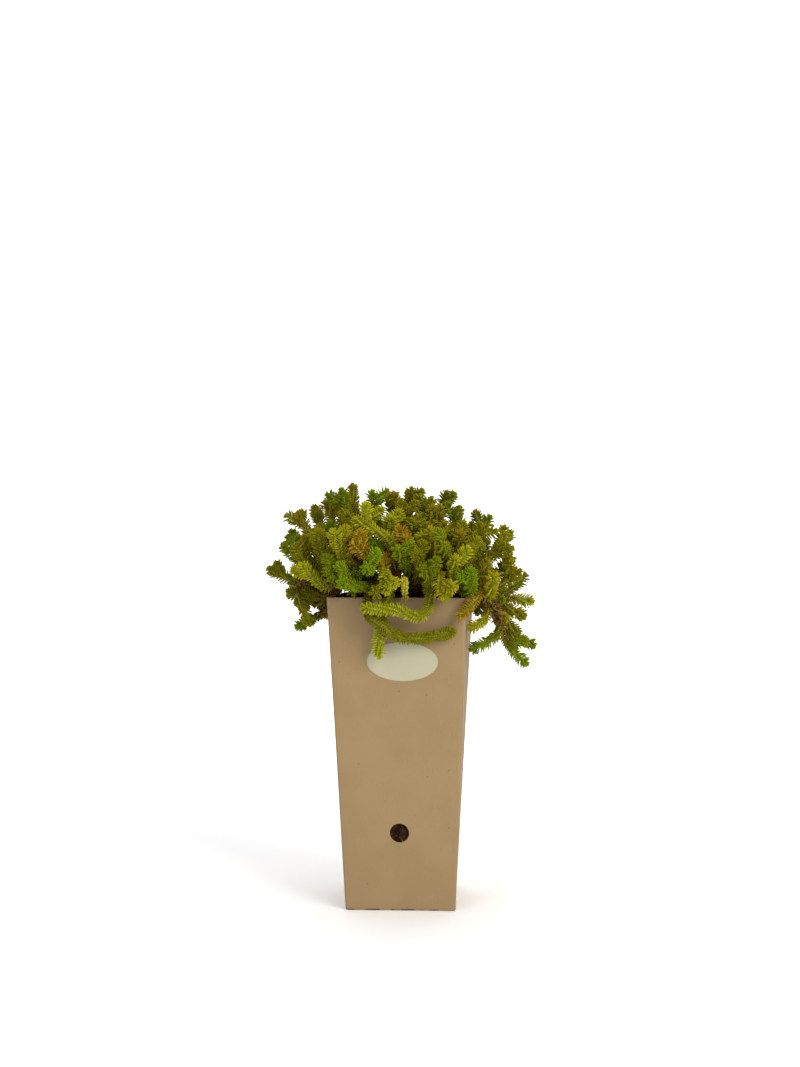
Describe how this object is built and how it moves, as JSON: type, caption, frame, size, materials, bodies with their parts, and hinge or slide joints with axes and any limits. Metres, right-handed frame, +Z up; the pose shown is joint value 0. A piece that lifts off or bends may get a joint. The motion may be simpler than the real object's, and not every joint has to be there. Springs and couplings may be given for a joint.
{
  "type": "potted tasteless stonecrop",
  "caption": "Cushion of leafy stonecrop stems in soil, spilling over a tall tapered square carton pot with a blank oval label and a round hole low in the front.",
  "frame": {"origin": "centre of the pot's foot, on the surface that it stands on", "axes": "+Z up; -Y out of the front wall, which has the label and the round hole; +X to the right"},
  "size_m": [0.1984, 0.1677, 0.3073],
  "materials": {
    "kraft_board": "plain kraft solid board, matt, with fine fibres",
    "label_paper": "smooth cream label paper, matt",
    "potting_soil": "loose dark peat soil",
    "stonecrop": "fleshy green leaves with a soft waxy sheen"
  },
  "bodies": {
    "root": {"pot": "kraft_board", "label": "label_paper", "soil": "potting_soil", "leafy_stems_01": "stonecrop", "leafy_stems_02": "stonecrop", "leafy_stems_03": "stonecrop", "leafy_stems_04": "stonecrop", "leafy_stems_05": "stonecrop", "leafy_stems_06": "stonecrop", "leafy_stems_07": "stonecrop", "leafy_stems_08": "stonecrop", "leafy_stems_09": "stonecrop", "leafy_stems_10": "stonecrop", "leafy_stems_11": "stonecrop", "leafy_stems_12": "stonecrop", "leafy_stems_13": "stonecrop", "leafy_stems_14": "stonecrop", "leafy_stems_15": "stonecrop", "leafy_stems_16": "stonecrop", "leafy_stems_17": "stonecrop", "leafy_stems_18": "stonecrop", "leafy_stems_19": "stonecrop", "leafy_stems_20": "stonecrop", "leafy_stems_21": "stonecrop", "leafy_stems_22": "stonecrop", "leafy_stems_23": "stonecrop", "leafy_stems_24": "stonecrop", "leafy_stems_25": "stonecrop", "leafy_stems_26": "stonecrop", "leafy_stems_27": "stonecrop", "leafy_stems_28": "stonecrop", "leafy_stems_29": "stonecrop", "leafy_stems_30": "stonecrop", "leafy_stems_31": "stonecrop", "leafy_stems_32": "stonecrop", "leafy_stems_33": "stonecrop", "leafy_stems_34": "stonecrop", "leafy_stems_35": "stonecrop", "leafy_stems_36": "stonecrop", "leafy_stems_37": "stonecrop", "leafy_stems_38": "stonecrop", "leafy_stems_39": "stonecrop", "leafy_stems_40": "stonecrop", "leafy_stems_41": "stonecrop", "leafy_stems_42": "stonecrop", "leafy_stems_43": "stonecrop", "leafy_stems_44": "stonecrop", "leafy_stems_45": "stonecrop", "leafy_stems_46": "stonecrop", "leafy_stems_47": "stonecrop"}
  },
  "joints": []
}
